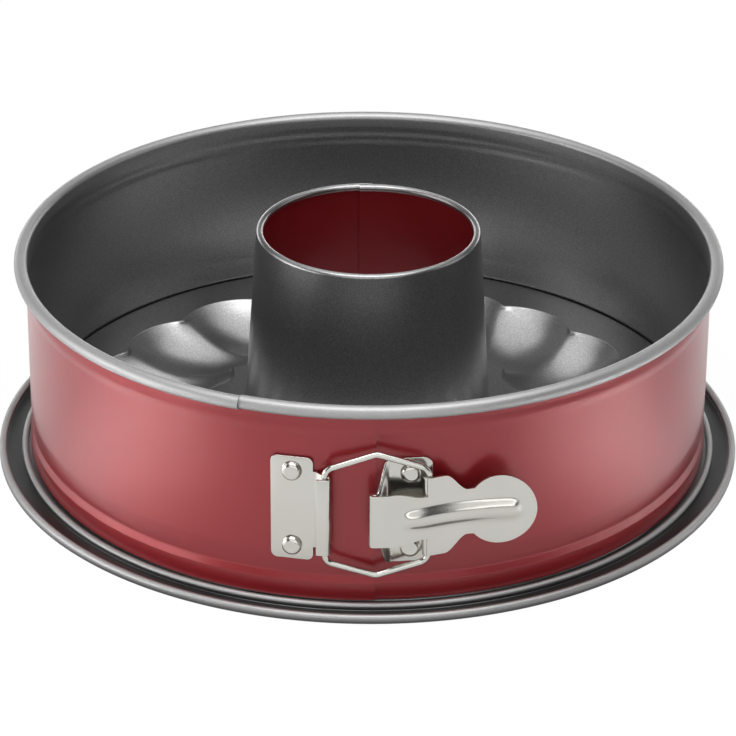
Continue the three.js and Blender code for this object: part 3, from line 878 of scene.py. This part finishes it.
class PAN_OT_lever(Operator):
    """Makes the lever: a curl on its pin, two hooked wings, a pressed rib and a round thumb plate"""

    bl_idname = "pan.lever"
    bl_label = "Lever"

    rows = 24
    wing_rows = 6
    curl_steps = 12
    body_steps = 14
    wing_steps = 16
    hook_steps = 8
    thumb_turns = (*range(-48, 90, 6), 88)  # degrees, at the stations
    least_step = 0.5 * MM  # after the neck
    hook_lead = 17  # degrees
    shoulder_lead = 1 * MM
    rib_ramp = 4 * MM
    rib_narrow = 0.8  # share of the rib's full width at its start
    rib_flank = 0.85
    wing_weld = 0.02 * MM

    def sheet_at(self, size, place, reach):
        """Place on the lever's curved sheet, by the distance along it from the hooks."""
        hook_level = place.hook_radius + place.eye
        pin_level = place.pin_radius + place.curl
        pin_bend = (pin_level - hook_level + size.lever_slope * place.pin_reach) / place.pin_reach ** 2
        bend = pin_bend if reach < 0 else size.lever_flare
        turn = place.hook_turn + along(reach, place.hook_radius)
        return plan(turn, hook_level - size.lever_slope * reach + bend * reach ** 2)

    def body_half(self, size, reach):
        """Half height of the body and the thumb plate, without the wings."""
        if reach < 0:
            return mix(size.waist_half, size.lever_half,
                       smooth_step(-reach, size.waist_reach, size.waist_reach + size.waist_taper))
        disc = size.thumb_half * sqrt(max(1 - ((reach - size.thumb_reach) / size.thumb_length) ** 2, 0))
        if reach > size.thumb_reach:
            return disc
        stem = mix(size.waist_half, size.neck_half, smooth_step(reach, 0, size.neck_reach))
        return sqrt(stem ** 2 + max(0, disc ** 2 - stem ** 2)) if disc > stem else stem

    def rib(self, size, reach, across):
        """Rise of the pressed rib."""
        end = size.thumb_reach + size.rib_end
        width = size.rib_half * mix(self.rib_narrow, 1, smooth_step(reach, -size.rib_start, 0))
        lengthwise = (smooth_step(reach, -size.rib_start, self.rib_ramp - size.rib_start)
                      * smooth_step(-reach, -end, self.rib_ramp - end))
        return size.rib_height * lengthwise * smooth_step(width - abs(across), 0, width * self.rib_flank)

    def column(self, size, place, reach, low, high, rows):
        """Points across the sheet at one reach."""
        at = self.sheet_at(size, place, reach)
        out = at.normalized()
        points = []
        for v in evenly(low, high, rows):
            risen = at + out * self.rib(size, reach, v)
            points.append(Vector((risen.x, -risen.y, size.middle + v)))
        return points

    def execute(self, context):
        size = context.scene.pan_clasp
        place = ClaspPlan(size)
        thumb = [size.thumb_reach + size.thumb_length * sin(radians(turn)) for turn in self.thumb_turns]
        body = evenly(place.pin_reach, -size.wing_lead, self.body_steps)[1:-1]
        wings = evenly(-size.wing_lead, size.neck_reach, self.wing_steps)
        pin = plan(place.pin_turn, place.pin_radius)
        out = 90 - place.pin_turn
        heights = evenly(size.middle - size.lever_half, size.middle + size.lever_half, self.rows)
        columns = [upright(p, heights)
                   for p in arc(pin, place.curl, out + size.curl_wrap, out, self.curl_steps)]
        for reach in body + wings + [r for r in thumb if r > size.neck_reach + self.least_step]:
            half = self.body_half(size, reach)
            columns.append(self.column(size, place, reach, -half, half, self.rows))
        bm = strip_grid(bmesh.new(), columns)
        over = 90 - place.hook_turn
        hook = arc(plan(place.hook_turn, place.hook_radius), place.eye,
                   over + size.hook_wrap, over + self.hook_lead, self.hook_steps)
        for side in (-1, 1):
            heights = evenly(size.middle + side * size.waist_half, size.middle + side * size.wing_half,
                             self.wing_rows)
            wing = [upright(p, heights) for p in hook]
            for reach in wings:
                half = self.body_half(size, reach)
                shoulder = smooth_step(reach, size.wing_width - self.shoulder_lead, size.neck_reach)
                tall = mix(size.wing_half, half, shoulder)
                wing.append(self.column(size, place, reach, side * half, side * tall, self.wing_rows))
            strip_grid(bm, wing)
        weld(bm, self.wing_weld)
        plated_sheet("lever_sheet", bm, size.sheet, "lever", "lever")
        return {"FINISHED"}


class PAN_OT_wire_bail(Operator):
    """Makes the wire bail: a six-sided loop of round wire with soft bends"""

    bl_idname = "pan.wire_bail"
    bl_label = "Wire bail"

    sides = 16
    bend_steps = 8

    def execute(self, context):
        size = context.scene.pan_clasp
        place = ClaspPlan(size)
        start = plan(place.pivot_turn, place.pivot_radius)
        across = plan(place.hook_turn, place.hook_radius) - start
        width = across.length
        corners = [Vector(c) for c in (
            (0, size.leg_half), (width / 2, size.apex_half), (width, size.leg_half),
            (width, -size.leg_half), (width / 2, -size.apex_half), (0, -size.leg_half))]
        bm = bmesh.new()
        bmesh.ops.create_circle(bm, segments=self.sides, radius=size.wire)
        last = bm.edges[:]
        here = Vector((0, 0))
        for i, corner in enumerate(corners):
            ahead = (corner - here).normalized()
            after = (corners[(i + 1) % len(corners)] - corner).normalized()
            bend = -ahead.angle_signed(after)
            setback = size.bend * tan(abs(bend) / 2)
            run = (corner - here).length - setback
            verts, ring = extruded(bm, last)
            bmesh.ops.translate(bm, verts=verts, vec=(ahead.x * run, 0, ahead.y * run))
            side = Vector((ahead.y, -ahead.x)) * (-1 if bend > 0 else 1)
            elbow = here + ahead * run + side * size.bend
            made = bmesh.ops.spin(bm, geom=verts + ring, cent=(elbow.x, 0, elbow.y), axis=(0, 1, 0),
                                  angle=-bend, steps=self.bend_steps)
            last = edges_of(made["geom_last"])
            here = corner + after * setback
        first = [e for e in bm.edges if e.is_boundary and e not in last]
        bmesh.ops.bridge_loops(bm, edges=last + first)
        weld(bm)
        bmesh.ops.recalc_face_normals(bm, faces=bm.faces[:])
        turned(bm, degrees(atan2(-across.y, across.x)))
        bmesh.ops.translate(bm, verts=bm.verts[:], vec=(start.x, -start.y, size.middle))
        on_body(piece("wire_bail_loop", bm, [nickel_plate()]), "bail", "nickel", "wire_bail")
        return {"FINISHED"}


class PAN_OT_rivets(Operator):
    """Makes the four rivets, with level-topped dome heads"""

    bl_idname = "pan.rivets"
    bl_label = "Rivets"

    sides = 40
    tail = 0.6 * MM
    ring = 0.5 * MM
    dish = 0.12 * MM
    sharp = 35  # degrees between faces

    def rivet(self, size, name, wall, turn, height):
        """Rivet through a plate, at a turn and a height."""
        seat = wall + size.sheet + 2 * size.gap
        swell = size.rivet_head - size.rivet_flat
        shank = size.rivet_shank
        profile = [(shank, wall - self.tail), (shank, seat), (size.rivet_head, seat)]
        profile += [(size.rivet_flat + swell * cos(radians(a)), seat + size.rivet_dome * sin(radians(a)))
                    for a in range(10, 91, 10)]
        bm = bmesh.new()
        geom = path_edges(bm, [(r, -out, 0) for r, out in profile])
        bmesh.ops.spin(bm, geom=geom, axis=(0, 1, 0), angle=2 * pi, steps=self.sides, use_merge=True)
        weld(bm)
        bmesh.ops.holes_fill(bm, edges=[e for e in bm.edges if e.is_boundary])
        top = [f for f in bm.faces if len(f.verts) > 4 and f.calc_center_median().y < -seat]
        bmesh.ops.inset_region(bm, faces=top, thickness=self.ring, depth=-self.dish)
        bmesh.ops.recalc_face_normals(bm, faces=bm.faces[:])
        bmesh.ops.translate(bm, verts=bm.verts[:], vec=(0, 0, height))
        turned(bm, turn)
        return piece(name, bm, [nickel_plate()], self.sharp)

    def execute(self, context):
        size = context.scene.pan_clasp
        place = ClaspPlan(size)
        plates = (("left", size.outer_wall, place.plate_turn), ("right", size.inner_wall, place.bracket_turn))
        for level, side in (("lower", -0.5), ("upper", 0.5)):
            height = size.middle + side * size.rivet_spacing
            for hand, wall, turn in plates:
                obj = self.rivet(size, f"rivet_head_{hand}_{level}", wall, turn, height)
                on_body(obj, f"ring_{hand}", "nickel", f"rivet_{hand}_{level}")
        return {"FINISHED"}


# Stage


class PAN_OT_stage(Operator):
    """Makes the pale floor, the soft studio lights and the camera"""

    bl_idname = "pan.stage"
    bl_label = "Stage"

    sensor = 36
    farthest = 30
    floor_half = 6
    floor_grey = (0.7, 0.7, 0.7, 1)
    floor_glow = 1.035
    floor_cover = 0.9
    sky_dim = 0.04
    sky_white = 1.0

    def light(self, name, place, aim, width, height, power, spread=180):
        """Soft rectangular light, with the spread of its beam in degrees."""
        data = bpy.data.lights.new(name, "AREA")
        data.shape = "RECTANGLE"
        data.size, data.size_y = width, height
        data.energy = power
        data.spread = radians(spread)
        obj = linked(name, data)
        obj.location = place
        obj.rotation_euler = (Vector(aim) - Vector(place)).to_track_quat("-Z", "Y").to_euler()
        obj.visible_camera = False

    def floor(self):
        """Floor that is white to the camera and pale grey to the pan."""
        bm = bmesh.new()
        bmesh.ops.create_grid(bm, x_segments=1, y_segments=1, size=self.floor_half)
        material, finish = new_finish("pale floor")
        seen = finish.node("ShaderNodeLightPath", output="Is Camera Ray")
        white = finish.node("ShaderNodeEmission", {}, {"Color": WHITE, "Strength": self.floor_glow})
        pale = finish.node("ShaderNodeBsdfDiffuse", {}, {"Color": self.floor_grey})
        cover = seen * self.floor_cover
        finish.surface(finish.node("ShaderNodeMixShader", {}, {0: cover, 1: pale, 2: white}))
        obj = piece("floor", bm, [material])

    def sky(self):
        """Sky that is white to the camera and nearly dark to the pan."""
        world = bpy.data.worlds.new("studio")
        bpy.context.scene.world = world
        world.use_nodes = True
        finish = Finish(world.node_tree)
        seen = finish.node("ShaderNodeLightPath", output="Is Camera Ray")
        dim, white = (finish.node("ShaderNodeBackground", {}, {"Color": WHITE, "Strength": strength})
                      for strength in (self.sky_dim, self.sky_white))
        shader = finish.node("ShaderNodeMixShader", {}, {0: seen, 1: dim, 2: white})
        finish.surface(shader, "ShaderNodeOutputWorld")

    def camera(self, settings):
        """Camera that sees the pan as the photo does."""
        data = bpy.data.cameras.new("photo view")
        data.sensor_width = self.sensor
        data.lens = settings.lens
        data.clip_end = self.farthest
        obj = linked("photo view", data)
        rise, round_left = radians(settings.elevation), radians(settings.azimuth)
        away = Vector((-cos(rise) * sin(round_left), -cos(rise) * cos(round_left), sin(rise)))
        obj.location = Vector((0, 0, settings.target)) + away * settings.distance
        turn = (-away).to_track_quat("-Z", "Y").to_matrix() @ Matrix.Rotation(radians(settings.roll), 3, "Z")
        obj.rotation_euler = turn.to_euler()
        bpy.context.scene.camera = obj

    def execute(self, context):
        context.scene.view_settings.view_transform = "Standard"
        self.floor()
        self.sky()
        middle = (0, 0, 0.05)
        self.light("overhead softbox", (0, 0.3, 1.1), (0, 0.3, 0), 1.3, 0.9, 5.2)
        self.light("high softbox", (0, -0.35, 1.2), middle, 1.2, 0.4, 9.5)
        self.light("front softbox", (0, -0.85, 0.8), middle, 1.4, 1.0, 4.2)
        self.light("front strip", (0, -0.9, 0.2), middle, 1.0, 0.2, 1.2)
        self.light("back softbox", (0, 0.8, 1.05), middle, 1.2, 0.3, 1.2)
        self.light("back strip", (0, 1.2, 0.19), middle, 2.6, 0.3, 8.8)
        self.light("left softbox", (-0.75, 0, 0.32), middle, 0.5, 0.6, 1.4)
        self.light("right softbox", (0.75, 0, 0.32), middle, 0.5, 0.6, 0.7)
        self.light("left strip", (-0.55, -0.22, 0.1), middle, 0.4, 0.16, 0.95)
        for name, x in (("left", -0.19), ("right", 0.19)):
            self.light(f"{name} floor light", (x, -0.125, 0.5), (x, -0.125, 0), 0.1, 0.13, 0.11, 14)
        self.camera(context.scene.pan_stage)
        return {"FINISHED"}


class PAN_PT_pieces(Panel):
    """Lists the pan's pieces"""

    bl_idname = "PAN_PT_pieces"
    bl_label = "Springform pan"
    bl_space_type = "VIEW_3D"
    bl_region_type = "UI"
    bl_category = "Pan"

    def draw(self, context):
        for maker in MAKERS:
            self.layout.operator(maker.bl_idname)


GROUPS = {
    "pan_band": BandSizes,
    "pan_base": BaseSizes,
    "pan_tube": TubeSizes,
    "pan_clasp": ClaspSizes,
    "pan_finishes": PanFinishes,
    "pan_stage": StageSettings,
}
MAKERS = (
    PAN_OT_spring_band,
    PAN_OT_fluted_base,
    PAN_OT_centre_tube,
    PAN_OT_bail_plate,
    PAN_OT_lever_bracket,
    PAN_OT_lever,
    PAN_OT_wire_bail,
    PAN_OT_rivets,
    PAN_OT_stage,
)


def register():
    for cls in (*GROUPS.values(), *MAKERS, PAN_PT_pieces):
        bpy.utils.register_class(cls)
    for name, group in GROUPS.items():
        setattr(bpy.types.Scene, name, PointerProperty(type=group))


def unregister():
    for name in GROUPS:
        delattr(bpy.types.Scene, name)
    for cls in (PAN_PT_pieces, *reversed(MAKERS), *reversed(GROUPS.values())):
        bpy.utils.unregister_class(cls)


def main():
    register()
    bpy.ops.pan.spring_band()
    bpy.ops.pan.fluted_base()
    bpy.ops.pan.centre_tube()
    bpy.ops.pan.bail_plate()
    bpy.ops.pan.lever_bracket()
    bpy.ops.pan.lever()
    bpy.ops.pan.wire_bail()
    bpy.ops.pan.rivets()
    bpy.ops.pan.stage()


if __name__ == "__main__":
    main()
